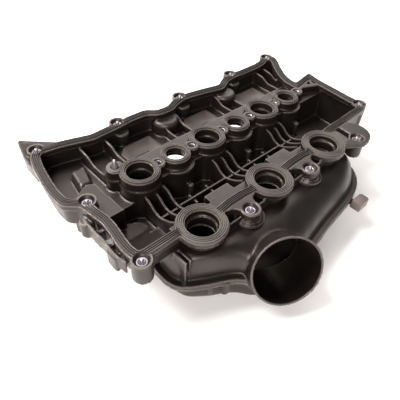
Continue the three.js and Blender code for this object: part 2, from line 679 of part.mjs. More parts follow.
function centreGasket() {
  const rings = WELLS.map(({ x, y, big }) => post(
    x, y, (big ? BIG_WELL : SMALL_WELL).ring - SEAL_EDGE, GASKET_BASE, GASKET_TOP, ROUND,
  ));
  const pads = CENTRE_SLEEVES.map(([x, y]) => post(
    x, y, CENTRE_SLEEVE.boss - SEAL_EDGE, GASKET_BASE, GASKET_TOP,
  ));
  const webs = [
    strip([CHAIN.start, CENTRE_WEB.end], CENTRE_WEB.width, GASKET_BASE, GASKET_TOP),
    strip([DOWEL, CHAIN.start], CENTRE_WEB.dowelWidth, GASKET_BASE, GASKET_TOP),
    post(...DOWEL, BOSS_RADIUS - SEAL_EDGE, GASKET_BASE, GASKET_TOP),
  ];
  const bores = WELLS.map(({ x, y, big }) => post(
    x, y, (big ? BIG_WELL : SMALL_WELL).bore + BORE_EDGE, GASKET_BASE - 1, GASKET_TOP + 1, ROUND,
  ));
  const holes = [...CENTRE_SLEEVES, DOWEL]
    .map(([x, y]) => post(x, y, PIN_EYE, GASKET_BASE - 1, GASKET_TOP + 1));
  return cutAll(union([...rings, ...pads, ...webs]), [...bores, ...holes]);
}

// ---------------------------------------------------------------- hardware
function captiveBolt() {
  const { shank, flange, headTop, tip } = BOLT;
  const stem = turned(0, 0, [
    [0, headTop - 1.5], [flange, headTop - 1.5], [flange, headTop - 0.6], [shank, headTop],
    [shank, tip - 3], [1.7, tip - 1.8], [1.7, tip], [0, tip],
  ]);
  const hexRadius = BOLT.hexAcross / Math.sqrt(3);
  return stem.add(post(0, 0, hexRadius, headTop - 6.2, headTop - 1, 6));
}

function sleeve(outerRadius, innerRadius, low, high) {
  return turned(0, 0, [
    [innerRadius, low], [outerRadius, low], [outerRadius, high], [innerRadius, high], [innerRadius, low],
  ]);
}

function dowelPin() {
  return turned(...DOWEL, [
    [0, DOWEL_FOOT], [DOWEL_RADIUS, DOWEL_FOOT], [DOWEL_RADIUS, 1], [3, 2], [1.7, 7.4], [0.9, 8], [0, 8],
  ]);
}

const BAFFLE = {
  plan: [[-24, 126], [16, 126], [22, 134], [22, 158], [-14, 158], [-24, 148]],
  slot: [[-18, 132], [4, 132]],
  slotWidth: 4.4,
  top: BACK_FLOOR + 3.2,
  dx: 38,
};

function bafflePlate(x) {
  const beside = (points) => points.map(([dx, y]) => [x + dx, y]);
  return prism(beside(BAFFLE.plan), BACK_FLOOR + GAP, BAFFLE.top)
    .subtract(strip(beside(BAFFLE.slot), BAFFLE.slotWidth, BACK_FLOOR, BAFFLE.top + 1));
}

// Arm, clamp and hook of the clip, each as x0, x1, y0, y1 and its levels about the flange's underside.
const CLIP = [
  [185, 193, -58, -46, -4, 0],
  [184, 201, -66, -54, -6, 5],
  [199, 207, -63, -54, -8, 1],
];

function harnessClip() {
  const under = SEAM - SEAM_FLANGE.thick - GAP;
  return union(CLIP.map(([x0, x1, y0, y1, low, high]) => block(
    x0, x1, y0, y1, under + low, under + high,
  )));
}

// ---------------------------------------------------------------- materials and assembly
const nylon = { color: 0x2b2826, roughness: 0.48, metalness: 0 };
const rubber = { color: 0x35312f, roughness: 0.7, metalness: 0 };
const steel = { color: 0xb9bcc0, roughness: 0.3, metalness: 1 };

const cover = new THREE.Group();

function place(name, body, finish, x = 0, y = 0) {
  const mesh = new THREE.Mesh(toGeometry(body), new THREE.MeshStandardMaterial(finish));
  mesh.name = name;
  mesh.position.set(x, y, 0);
  cover.add(mesh);
}

place('cover_shell', coverShell(), nylon);
place('manifold_upper_shell', upperShell(), nylon);
place('manifold_lower_shell', lowerShell(), nylon);
place('inlet_duct', inletDuct(), nylon);
place('perimeter_gasket', perimeterGasket(), rubber);
place('centre_gasket', centreGasket(), rubber);

const bolt = captiveBolt();
const boltSleeve = sleeve(SLEEVE.outer, SLEEVE.inner, SLEEVE.bottom, SLEEVE.top);
BOLTS.forEach(([x, y], i) => {
  const label = String(i + 1).padStart(2, '0');
  place(`captive_bolt_${label}`, bolt, steel, x, y);
  place(`bolt_sleeve_${label}`, boltSleeve, steel, x, y);
});

const centreSleeve = sleeve(
  CENTRE_SLEEVE.outer, CENTRE_SLEEVE.inner, LEDGE_TOP - WALL, FLANGE_TOP - CENTRE_SLEEVE.sunk,
);
CENTRE_SLEEVES.forEach(([x, y], i) => {
  place(`centre_sleeve_${i + 1}`, centreSleeve, steel, x, y);
});
place('dowel_pin', dowelPin(), steel);
perCylinder((x, i) => place(`baffle_plate_${i + 1}`, bafflePlate(x + BAFFLE.dx), nylon));
place('harness_clip', harnessClip(), nylon);

const extent = new THREE.Box3().setFromObject(cover);
const middle = extent.getCenter(new THREE.Vector3());
cover.position.set(-middle.x, -middle.y, -extent.min.z);

export default cover;
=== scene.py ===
"""Looks of a cam cover with built-in intake manifold, lying with its gasket face up.

Shapes are made in millimetres in the engine frame: the first port centre at X = Y = 0 and the
gasket face at Z = 0. finish_piece() turns them to metres in the row frame.
"""

import math

import bpy
from mathutils import Matrix, Vector


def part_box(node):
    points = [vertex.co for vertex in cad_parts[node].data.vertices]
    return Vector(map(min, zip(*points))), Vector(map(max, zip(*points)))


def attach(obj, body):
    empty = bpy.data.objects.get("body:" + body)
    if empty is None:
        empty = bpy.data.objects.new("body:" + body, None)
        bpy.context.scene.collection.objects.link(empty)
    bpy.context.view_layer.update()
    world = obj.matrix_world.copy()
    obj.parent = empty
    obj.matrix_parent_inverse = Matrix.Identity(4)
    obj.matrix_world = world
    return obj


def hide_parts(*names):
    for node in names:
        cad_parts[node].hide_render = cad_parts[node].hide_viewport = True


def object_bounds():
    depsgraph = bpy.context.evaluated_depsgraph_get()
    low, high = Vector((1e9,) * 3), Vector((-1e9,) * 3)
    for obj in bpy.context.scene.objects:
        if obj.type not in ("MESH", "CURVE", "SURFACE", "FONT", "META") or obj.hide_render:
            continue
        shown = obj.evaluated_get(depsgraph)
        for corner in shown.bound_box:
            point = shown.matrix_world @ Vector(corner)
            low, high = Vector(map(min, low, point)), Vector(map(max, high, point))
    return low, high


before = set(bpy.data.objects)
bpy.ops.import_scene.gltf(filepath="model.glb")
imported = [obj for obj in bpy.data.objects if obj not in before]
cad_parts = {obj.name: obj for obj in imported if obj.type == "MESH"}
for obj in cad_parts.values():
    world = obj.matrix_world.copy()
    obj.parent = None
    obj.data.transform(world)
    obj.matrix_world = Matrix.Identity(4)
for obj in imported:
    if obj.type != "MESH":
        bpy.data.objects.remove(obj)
CAD_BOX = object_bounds()
SCENE = bpy.context.scene

# ---------------------------------------------------------------- driving dimensions, mm
PITCH = 92.0
CYLINDERS = 3
FLANGE_TOP = -1.2
FLANGE_THICK = 7.0
RAIL_WIDTH = 10.0
WALL = 3.2
FRONT_FLOOR = -48.0
BACK_FLOOR = -26.0
LEDGE_TOP = -12.0
STEP_TOP = -15.0
BOTTOM = -88.0
GAP = 0.3

PORT_BORE, PORT_THROAT, PORT_RING = 15.4, 13.4, 24.5
PORT_STEP = -8.0
WELL_ROW_Y = 92.0
BIG = {"bore": 13.9, "throat": 12.4, "step": -11.0, "ring": 21.0, "tower": 17.5, "apron": 22.0}
SMALL = {"bore": 10.2, "ring": 16.5, "apron": 21.0}
SMALL_WELL_X = 45.5
SLEEVE_BOSS = 8.0
CENTRE_SLEEVE_X = (21.6, 67.7)
BOLTS = (
    (-62.8, 187.5), (30.3, 176.8), (123.3, 176.3), (216.3, 178.0), (296.2, 181.4), (291.9, 21.1),
    (224.4, -18.0), (138.8, -15.5), (47.0, -15.4), (-64.1, 2.4), (-62.4, 89.1),
)
EAR_BOLTS = (6, 7, 8)
BOSS_RADIUS = 9.5
BOSS_BOTTOM = -24.0
EAR_BOSS = {"core": 8.3, "collar": 10.4, "foot": 10.8, "foot_height": 6.2}
SLEEVE = {"outer": 5.0, "inner": 3.4, "top": -4.2, "bottom": -15.0}
MOUTH = 7.2                       # counterbore round each rail bolt
HEAD_BORE = 7.4                   # room below for the head of each rail bolt
CHANNEL = -2.7                    # floor of the seal grooves
SEAL_HALF = 3.5
CENTRE_SLEEVE = {"outer": 4.2, "inner": 3.2, "drop": 0.5}
BOLT = {"shank": 3.0, "flange": 6.2, "across": 8.0, "head_top": -19.3, "tip": -0.6}
THREAD = {"pitch": 1.0, "depth": 0.35, "rise": 0.5, "margin": 4.0}
DOWEL = (-16.0, 112.0)
DOWEL_RADIUS = 3.4
DOWEL_SOCKET = -11.0
DOWEL_BASE = 10.5
LOCATING_HOLE = {"x": 292, "y": 92, "boss": 6, "radius": 3, "low": -6}
WELL_RELIEF = {"radius": 13.5, "top": -9}
SEAM = -50.0
SEAM_FLANGE = {"width": 7.5, "thick": 4.0}
SHELL = 3.0
PLENUM_TOP = STEP_TOP - WALL - GAP
PLENUM_BACK = 20.0
DUCT = {
    "mouth": Vector((42, -72.5, -37)), "azimuth": math.radians(-151), "rise": math.radians(25),
    "throat": Vector((60, -38, -54)), "sag": 3.0, "radius": 36.0, "throat_radius": 31.0, "wall": 2.4,
}
BOLT_TUBE = {"outer": 11.0, "inner": 8.6}
VALLEY_NEAR, VALLEY_FAR = 79.0, 122.0
POCKET_RIGHT = -4.0
SHELF_LEFT, SHELF_RIGHT = -19.0, 208.0
SHELF_FAR = PLENUM_BACK + GAP + WALL
STEP_PAD = {"left": 34.0, "right": 66.0, "far": 33.0}
RAMP = {"start": 8.0, "end": 80.0, "high": -24.0}
PLATEAU = ((-60, 66), (-38, 66), (-40, 114), (-48, 118), (-72, 104))
PLATEAU_TOP = -11.0
EAR_DISC = {"dx": 3.0, "dy": 2.4, "radius": 15.5, "thick": 3.5}
BAFFLE_X = 38.0                   # from each port centre
FAR = 400.0                       # past every side of the part
ABOVE = 2.0                       # past the gasket face
ROUND = 64                        # sides of a circle
VOXEL = 1.0     # remesh grain of the moulded shells
KEEP = 0.4        # share of the remeshed faces that stays
CRISP = 30                        # degrees past which a machined edge is drawn sharp


# ---------------------------------------------------------------- solids and booleans
def solid(verts, faces):
    mesh = bpy.data.meshes.new("work")
    mesh.from_pydata([tuple(v) for v in verts], [], faces)
    obj = bpy.data.objects.new("work", mesh)
    SCENE.collection.objects.link(obj)
    return obj


def drop(obj):
    mesh = obj.data
    bpy.data.objects.remove(obj)
    bpy.data.meshes.remove(mesh)


def bake(obj):
    """Applies the modifiers of an object to its mesh."""
    graph = bpy.context.evaluated_depsgraph_get()
    graph.update()
    mesh = bpy.data.meshes.new_from_object(obj.evaluated_get(graph))
    old = obj.data
    obj.modifiers.clear()
    obj.data = mesh
    bpy.data.meshes.remove(old)
    return obj


def combine(base, others, operation):
    if not others:
        return base
    bag = bpy.data.collections.new("operands")
    SCENE.collection.children.link(bag)
    for other in others:
        SCENE.collection.objects.unlink(other)
        bag.objects.link(other)
    modifier = base.modifiers.new("boolean", "BOOLEAN")
    modifier.operation = operation
    modifier.operand_type = "COLLECTION"
    modifier.collection = bag
    modifier.solver = "MANIFOLD"
    bake(base)
    for other in others:
        drop(other)
    bpy.data.collections.remove(bag)
    return base


def union(parts):
    return combine(parts[0], parts[1:], "UNION")


def cut(base, tools):
    return combine(base, tools, "DIFFERENCE")


def meet(base, tool):
    return combine(base, [tool], "INTERSECT")


def clockwise(points):
    return sum(
        a[0] * b[1] - b[0] * a[1] for a, b in zip(points, points[1:] + points[:1])
    ) < 0


def prism(points, low, high):
    points = list(points)
    if clockwise(points):
        points.reverse()
    n = len(points)
    verts = [(x, y, z) for z in (low, high) for x, y in points]
    faces = [tuple(reversed(range(n))), tuple(range(n, 2 * n))]
    faces += [(i, (i + 1) % n, n + (i + 1) % n, n + i) for i in range(n)]
    return solid(verts, faces)


def block(x0, x1, y0, y1, z0, z1):
    return prism([(x0, y0), (x1, y0), (x1, y1), (x0, y1)], z0, z1)


def circle(x, y, radius, count=ROUND):
    turn = 2 * math.pi / count
    return [(x + radius * math.cos(i * turn), y + radius * math.sin(i * turn)) for i in range(count)]


def post(x, y, radius, low, high, count=ROUND):
    return prism(circle(x, y, radius, count), low, high)


def lathe(x, y, profile, count=ROUND):
    """Body of revolution about a vertical line; profile is a closed (r, z) outline, or one whose
    two ends lie on the axis."""
    axis_ends = profile[0][0] == 0
    rings = profile[1:-1] if axis_ends else profile
    verts = [(px, py, z) for r, z in rings for px, py in circle(x, y, r, count)]
    faces = []
    spans = len(rings) - 1 if axis_ends else len(rings)
    for k in range(spans):
        a, b = k * count, ((k + 1) % len(rings)) * count
        faces += [(a + i, a + (i + 1) % count, b + (i + 1) % count, b + i) for i in range(count)]
    if axis_ends:
        faces.append(tuple(reversed(range(count))))
        faces.append(tuple(range((len(rings) - 1) * count, len(rings) * count)))
    return solid(verts, faces)


def loft(levels):
    """Closed skin through stacked outlines with the same number of points, lowest first."""
    n = len(levels[0])
    verts = [p for level in levels for p in level]
    faces = [tuple(reversed(range(n)))]
    for k in range(len(levels) - 1):
        a, b = k * n, (k + 1) * n
        faces += [(a + i, a + (i + 1) % n, b + (i + 1) % n, b + i) for i in range(n)]
    faces.append(tuple(range((len(levels) - 1) * n, len(levels) * n)))
    return solid(verts, faces)


def offset(points, distance):
    """Moves each side of a closed outline sideways; positive is outward when counter-clockwise."""
    out = []
    n = len(points)
    for i, (x, y) in enumerate(points):
        a = Vector((x - points[i - 1][0], y - points[i - 1][1])).normalized()
        b = Vector((points[(i + 1) % n][0] - x, points[(i + 1) % n][1] - y)).normalized()
        normal = Vector((a.y + b.y, -a.x - b.x)).normalized()
        mitre = distance / max(0.5, normal.dot(Vector((a.y, -a.x))))
        out.append((x + normal.x * mitre, y + normal.y * mitre))
    return out


def rounded(points, reach, steps=5, closed=True):
    """Outline with every corner replaced by a short curve that starts at most `reach` before it."""
    out = [] if closed else [points[0]]
    n = len(points)
    for i in range(n) if closed else range(1, n - 1):
        here, before, after = Vector(points[i]), Vector(points[i - 1]), Vector(points[(i + 1) % n])
        r0 = min(reach, (here - before).length * 0.48)
        r1 = min(reach, (after - here).length * 0.48)
        start = here + (before - here).normalized() * r0
        end = here + (after - here).normalized() * r1
        for k in range(steps + 1):
            t = k / steps
            p = start * (1 - t) ** 2 + here * 2 * t * (1 - t) + end * t ** 2
            out.append((p.x, p.y))
    if not closed:
        out.append(points[-1])
    return out


def sides_of(path, width):
    left, right = [], []
    for i, (x, y) in enumerate(path):
        p, q = path[max(0, i - 1)], path[min(len(path) - 1, i + 1)]
        along = Vector((q[0] - p[0], q[1] - p[1])).normalized() * (width / 2)
        left.append((x + along.y, y - along.x))
        right.append((x - along.y, y + along.x))
    return left + right[::-1]


def strip(path, width, low, high):
    return prism(sides_of(path, width), low, high)


def per_cylinder(make):
    return [item for i in range(CYLINDERS) for item in make(i * PITCH)]


# ---------------------------------------------------------------- outlines
RAIL_CORNERS = [
    (-64, 6), (-24, 6), (0, 4), (24, 1), (36, 3), (56, 3), (68, 1), (92, 4),
    (116, 1), (128, 3), (148, 3), (160, 1), (184, 4), (207, 12), (285, 14), (291, 22),
    (291, 34), (293, 55), (296, 90), (300, 106), (264, 100), (265, 116), (271, 130),
    (284, 150), (296, 165), (300, 173), (296, 181), (288, 179), (277, 174), (262, 172), (230, 172),
    (217, 173), (200, 171), (182, 161), (156, 167), (135, 171), (123, 172), (107, 168),
    (98, 163), (84, 163), (77, 165), (68, 173), (45, 174), (30, 172), (8, 171),
    (-6, 170), (-38, 180), (-62, 184), (-69, 178), (-74, 160), (-78, 135), (-80, 115),
    (-79, 100), (-66, 88), (-64, 70), (-62, 58), (-63, 45), (-66, 26), (-66, 15),
]


def rail_line(shift):
    """Rounded outline that runs beside the rail's centre line; positive is outward."""
    return rounded(offset(RAIL_CORNERS, shift), 5.0, 4)


INNER = rail_line(-WALL / 2)
OUTER = rail_line(WALL / 2)

WELLS = per_cylinder(lambda x: [(x, WELL_ROW_Y, BIG), (x + SMALL_WELL_X, WELL_ROW_Y - 1, SMALL)])
CENTRE_SLEEVES = per_cylinder(lambda x: [(x + dx, WELL_ROW_Y - 1.5) for dx in CENTRE_SLEEVE_X])
PORTS = per_cylinder(lambda x: [(x, 0.0)])


# ---------------------------------------------------------------- cover shell
def cavity(x0, x1, y0, y1, low):
    """Space inside the rail, down to `low`, between four upright planes."""
    return meet(prism(INNER, low, 1), block(x0, x1, y0, y1, low - 1, ABOVE))


def along_x(outline, x0, x1):
    """Prism along X over a side outline of (y, z) points."""
    if not clockwise(list(outline)):
        outline = outline[::-1]
    n = len(outline)
    verts = [(x, y, z) for x in (x0, x1) for y, z in outline]
    faces = [tuple(range(n)), tuple(reversed(range(n, 2 * n)))]
    faces += [(i, n + i, n + (i + 1) % n, (i + 1) % n) for i in range(n)]
    return solid(verts, faces)


def under_ramp(skin, right):
    """Everything below the sloping floor at the near left corner."""
    foot = FRONT_FLOOR - WALL + skin
    head = RAMP["high"] + skin
    start, end = RAMP["start"], RAMP["end"]
    return along_x([(-FAR, -FAR), (end, -FAR), (end, foot), (start, head), (-FAR, head)], -FAR, right)


def step_pads(inset, low, high):
    """Raised pads of the port shelf between one cylinder and the next."""
    return [
        block(
            i * PITCH + STEP_PAD["left"] + inset, i * PITCH + STEP_PAD["right"] - inset,
            0, STEP_PAD["far"] - inset, low, high,
        )
        for i in (0, 1)
    ]


def plateau_hollow():
    return prism(offset(list(PLATEAU), -WALL), -FAR, PLATEAU_TOP - WALL)


def raw_shell():
    """Tray with its troughs and ledges, still solid below the raised floors."""
    hull = cut(prism(OUTER, FRONT_FLOOR - WALL, FLANGE_TOP), [under_ramp(0, SHELF_LEFT - WALL)])
    deep = cut(
        cavity(-FAR, FAR, -FAR, VALLEY_NEAR, FRONT_FLOOR),
        [post(x, y, kind["apron"], -FAR, LEDGE_TOP) for x, y, kind in WELLS]
        + [block(SHELF_LEFT, SHELF_RIGHT, -FAR, SHELF_FAR, -FAR, STEP_TOP)]
        + step_pads(0, -FAR, STEP_TOP)
        + [under_ramp(WALL, SHELF_LEFT)]
        + [post(x, y, PORT_BORE + WALL, -FAR, 3) for x, y in PORTS],
    )
    ledge = cavity(POCKET_RIGHT, FAR, VALLEY_NEAR - 1, VALLEY_FAR + 1, LEDGE_TOP)
    shallow = cavity(-FAR, FAR, VALLEY_FAR, FAR, BACK_FLOOR)
    pocket = cut(
        cavity(-FAR, POCKET_RIGHT, VALLEY_NEAR - 1, VALLEY_FAR + 1, BACK_FLOOR),
        [post(0, WELL_ROW_Y, BIG["apron"], -FAR, LEDGE_TOP), post(*DOWEL, DOWEL_BASE, -FAR, LEDGE_TOP)],
    )
    return cut(hull, [deep, ledge, shallow, pocket])


def underside_cuts():
    """Hollows on the outer face below every raised floor."""
    roof = LEDGE_TOP - WALL
    edge = POCKET_RIGHT + WALL
    return [
        block(POCKET_RIGHT, FAR, VALLEY_FAR - WALL - 1, FAR, -FAR, BACK_FLOOR - WALL),
        block(-FAR, edge, VALLEY_NEAR + WALL, FAR, -FAR, BACK_FLOOR - WALL),
        block(edge, FAR, VALLEY_NEAR + WALL, VALLEY_FAR - WALL, -FAR, roof),
        block(SHELF_LEFT - WALL, SHELF_RIGHT + WALL, -FAR, SHELF_FAR - WALL, -FAR, STEP_TOP - WALL),
        plateau_hollow(),
    ] + step_pads(WALL, -FAR, STEP_TOP - WALL) + [
        post(x, y, kind["apron"] - WALL, -FAR, roof) for x, y, kind in WELLS
    ]


def rail_band():
    low = FLANGE_TOP - FLANGE_THICK
    return cut(
        prism(rail_line(RAIL_WIDTH / 2), low, FLANGE_TOP),
        [prism(rail_line(-RAIL_WIDTH / 2), low - 1, ABOVE)],
    )


def bolt_bosses():
    shallow = BACK_FLOOR - WALL
    bottoms = [shallow] * 5 + [FRONT_FLOOR - WALL] + [BOSS_BOTTOM] * 4 + [shallow]
    radii = [BOSS_RADIUS] * 7 + [EAR_BOSS["core"]] * 2 + [BOSS_RADIUS] * 2
    return [
        post(x, y, radius, low, FLANGE_TOP) for (x, y), low, radius in zip(BOLTS, bottoms, radii)
    ]


EAR_PLAN = (
    (-21, 4), (-20, -4), (-13, -5), (-10, -9.5), (-9.4, -15.5),
    (9.4, -15.5), (10, -12), (12.8, -6), (18.5, -4.5), (21, 4),
)
EAR_RIDGE = {"left": 27, "right": 40, "near": 1.2, "far": 2.8}
EAR_STRIP = {"thick": 1.8, "outer": 13, "inner": 3, "root": 4, "rise": 2}


def port_flange():
    """Rings round the ports, with the ears for the bolts between them."""
    low = FLANGE_TOP - FLANGE_THICK
    foot = STEP_TOP - WALL
    parts = [post(x, y, PORT_RING, low, FLANGE_TOP) for x, y in PORTS]
    parts += [post(x, y, PORT_BORE + WALL, foot, low + 1) for x, y in PORTS]
    for x, y in (BOLTS[8], BOLTS[7]):
        neck = [(x + dx, py) for dx, py in EAR_PLAN]
        parts += [
            prism(rounded(neck, 3), low, FLANGE_TOP),
            post(x, y, EAR_BOSS["collar"], low, FLANGE_TOP),
            post(x + 0.5, y, EAR_BOSS["foot"], foot, foot + EAR_BOSS["foot_height"]),
            post(
                x + EAR_DISC["dx"], y + EAR_DISC["dy"], EAR_DISC["radius"], foot,
                foot + EAR_DISC["thick"],
            ),
            block(
                x - EAR_RIDGE["left"], x + EAR_RIDGE["right"],
                y + EAR_RIDGE["near"], y + EAR_RIDGE["far"], foot, low + 1,
            ),
        ]
        for side in (-1, 1):
            line = [
                (x + side * EAR_STRIP["outer"], EAR_STRIP["root"]),
                (x + side * EAR_STRIP["inner"], y + EAR_STRIP["rise"]),
            ]
            parts.append(strip(line, EAR_STRIP["thick"], foot, low + 1))
    return parts


def end_ear():
    """Wide ear with a window, at the right end of the port row."""
    low = FLANGE_TOP - FLANGE_THICK
    x, y = BOLTS[6]
    body = union([
        post(x + 4, y + 9, 21, low, FLANGE_TOP),
        prism([(200, -16), (224, -30), (240, 10), (206, 16)], low, FLANGE_TOP),
    ])
    window = rounded([(204.5, -13), (223.5, -11), (225.5, 8), (205.5, 9)], 2)
    return cut(body, [prism(window, low - 1, ABOVE)])


def well_chain():
    """Row of wells, the bars that join them, and the towers below the large ones."""
    low, top = LEDGE_TOP - 1, FLANGE_TOP
    last = CENTRE_SLEEVES[-1]
    parts = [post(x, y, kind["ring"], low, top) for x, y, kind in WELLS]
    parts += [post(x, y, SLEEVE_BOSS, LEDGE_TOP - WALL, top) for x, y in CENTRE_SLEEVES]
    locating = LOCATING_HOLE
    parts += [
        strip([(0, 92), (229, 91)], 9, low, top),
        strip([last, (268, 95), (294, 103)], 7, low, top),
        strip([(268, 95), (294, 84)], 7, low, top),
        post(*DOWEL, BOSS_RADIUS, LEDGE_TOP - WALL, top),
        strip([DOWEL, (0, 92)], 12, low, top),
        post(locating["x"], locating["y"], locating["boss"], FLANGE_TOP - FLANGE_THICK, top),
    ]
    return parts + per_cylinder(lambda x: [post(x, WELL_ROW_Y, BIG["tower"], BOTTOM, LEDGE_TOP)])


def cross_rib(x, crest, floor, thick=2.4):
    """Upright rib across a trough under a crest line of (y, z) points."""
    line = rounded(list(crest), 4, 3, closed=False)
    return along_x(line + [(crest[-1][0], floor), (crest[0][0], floor)], x - thick / 2, x + thick / 2)


DEEP_CREST = (
    (26, -16), (34, -22), (43, -26.5), (50, -28.5), (57, -27), (65, -20), (71, -18), (83, -17),
)
SHALLOW_CREST = (
    (120, -13), (128, -15.5), (137, -16), (145, -15), (152, -10.5), (160, -9), (170, -8.5),
)
DEEP_RIB_X = (-9, 3, 15)
SHALLOW_RIB_X = (-23.5, 6, 77.5, 101, 168, 190, 259, 276)
LONG_RIB = {"y": 50, "half": 1, "low_top": -31, "high_top": -28.6}
TAB = {"x": (34, 58), "thick": 2, "reach": 6}


def ribs():
    foot = FRONT_FLOOR - 1
    near, far = LONG_RIB["y"] - LONG_RIB["half"], LONG_RIB["y"] + LONG_RIB["half"]
    low_top = LONG_RIB["low_top"]
    parts = per_cylinder(lambda x: [cross_rib(x + dx, DEEP_CREST, foot) for dx in DEEP_RIB_X])
    parts += [cross_rib(x, SHALLOW_CREST, BACK_FLOOR - 1) for x in SHALLOW_RIB_X]
    first, last = DEEP_RIB_X[0], DEEP_RIB_X[-1]
    parts += per_cylinder(lambda x: [block(x + first, x + last, near, far, foot, low_top)])
    for i in (0, 1):
        x = i * PITCH
        parts.append(block(x + last, x + PITCH + first, near, far, foot, LONG_RIB["high_top"]))
        parts += [
            block(x + dx, x + dx + TAB["thick"], near - TAB["reach"], far + TAB["reach"], foot, low_top)
            for dx in TAB["x"]
        ]
    return meet(union(parts), prism(rail_line(0), foot, FLANGE_TOP))


def dome(x, y, radius, low, top, edge=9.0):
    """Upright post with a rounded crown."""
    arc = [k / 6 * math.pi / 2 for k in range(7)]
    crown = [(radius - edge + edge * math.cos(a), top - edge * (1 - math.sin(a))) for a in arc]
    return lathe(x, y, [(0, low), (radius, low)] + crown + [(0, top)])


def bump(plan, low, top, edge=5.0):
    """Block with a rounded crown."""
    outline = rounded(plan, 5)
    levels = [[(x, y, low) for x, y in outline]]
    for k in range(6):
        a = k / 5 * math.pi / 2
        inset = offset(outline, -edge * (1 - math.cos(a)))
        levels.append([(x, y, top - edge * (1 - math.sin(a))) for x, y in inset])
    return loft(levels)


def left_apron():
    """Outer wall that stands just clear of the rail at the near left corner, with its webs."""
    corners = [(-69, 86), (-73.6, 73), (-74.2, 58), (-73.4, 44), (-75, 28), (-72.6, 13)]
    path = rounded(corners, 5, 4, closed=False)
    return [
        strip(path, 2.4, -24, -8.8),
        strip([(-75.2, 38), (-75.4, 24)], 3, -31, -14),
        post(-72.5, 75, 6.8, -27, -9.5),
        block(-75, -62, 24, 26.4, -30, -10),
        block(-75, -62, 36, 38.4, -30, -10),
        block(-74, -60, 55, 57.4, -24, -10),
    ]


def inner_pads():
    """Raised shapes on the trough floors."""
    return [
        cut(prism(list(PLATEAU), FRONT_FLOOR - WALL, PLATEAU_TOP), [plateau_hollow()]),
        bump([(-53, 121), (-38, 123), (-30, 151), (-48, 151)], BACK_FLOOR - 1, -15),
        post(-36, 55, 15, -42, -37, 8),
        block(-25, -15, 33, 45, -38, -34),
    ] + [dome(x, 159, 16, BACK_FLOOR - 1, -9, 5) for x in (86, 186)] + [
        dome(BOLTS[i][0], BOLTS[i][1] - 6, BOSS_RADIUS, BACK_FLOOR - 1, -10, 2) for i in (1, 2, 3)
    ] + per_cylinder(lambda x: [dome(x + 46.8, 67, 3.5, FRONT_FLOOR - 1, -28, 2)])


def wing():
    """Flat bracket at the far left corner, with a skirt below two of its edges."""
    plan = [(-75, 160), (-66, 178), (-31, 184), (-68, 218), (-76, 186), (-77, 166)]
    plate = prism(plan, -9.1, -4.9)
    skirt = strip([(-76.5, 161), (-76, 186), (-69, 217)], 3, -22, -4.7)
    web = strip([(-69.3, 216.4), (-50, 198), (-33, 182)], 3, -20, -4.5)
    return [plate, skirt, web]


def ring_channel(x, y, inner, outer):
    return lathe(x, y, [(inner, CHANNEL), (outer, CHANNEL), (outer, ABOVE), (inner, ABOVE)])


def seal_channels():
    """Grooves that the seals lie in."""
    lips = {"rail": 0.4, "bore": 1.2, "ring": 0.9}
    half = SEAL_HALF + lips["rail"]
    discs = [post(x, y, 20, CHANNEL - 1, ABOVE) for x, y in PORTS]
    rail = cut(
        prism(rail_line(half), CHANNEL, 1),
        [prism(rail_line(-half), CHANNEL - 1, ABOVE)] + discs,
    )
    circles = [(x, y, PORT_BORE, PORT_RING) for x, y in PORTS]
    circles += [(x, y, kind["bore"], kind["ring"]) for x, y, kind in WELLS]
    return [rail] + [
        ring_channel(x, y, bore + lips["bore"], ring - lips["ring"]) for x, y, bore, ring in circles
    ]


def cover_shell():
    body = union(
        [cut(raw_shell(), underside_cuts()), rail_band(), end_ear(), ribs()]
        + bolt_bosses() + port_flange() + well_chain() + inner_pads() + wing() + left_apron()
    )
    tools = []
    for x, y in BOLTS:
        tools += [
            post(x, y, SLEEVE["outer"] + GAP, -FAR, ABOVE),
            post(x, y, MOUTH, SLEEVE["top"], ABOVE),
            post(x, y, HEAD_BORE, -FAR, SLEEVE["bottom"] - GAP),
        ]
    for x, y in PORTS:
        tools += [
            post(x, y, PORT_BORE, PORT_STEP, ABOVE),
            post(x, y, PORT_THROAT, STEP_TOP - 10, ABOVE),
        ]
    for x, y, kind in WELLS:
        if kind is BIG:
            tools += [
                post(x, y, BIG["bore"], BIG["step"], ABOVE),
                post(x, y, BIG["throat"], BOTTOM - 1, ABOVE),
            ]
        else:
            tools.append(post(x, y, SMALL["bore"], LEDGE_TOP - 10, ABOVE))
            if x < 2 * PITCH:
                tools.append(post(x, y, WELL_RELIEF["radius"], -FAR, WELL_RELIEF["top"]))
    tools += [post(x, y, CENTRE_SLEEVE["outer"] + GAP, -FAR, ABOVE) for x, y in CENTRE_SLEEVES]
    hole = LOCATING_HOLE
    tools += [
        post(*DOWEL, DOWEL_RADIUS + GAP, DOWEL_SOCKET, ABOVE),
        post(hole["x"], hole["y"], hole["radius"], hole["low"], ABOVE),
        plenum_body(-GAP),
    ]
    edge = SEAM_FLANGE["thick"] + GAP
    tools.append(seam_rim(SEAM_FLANGE["width"] + GAP, SEAM - edge, SEAM + edge))
    return cut(body, tools + seal_channels())


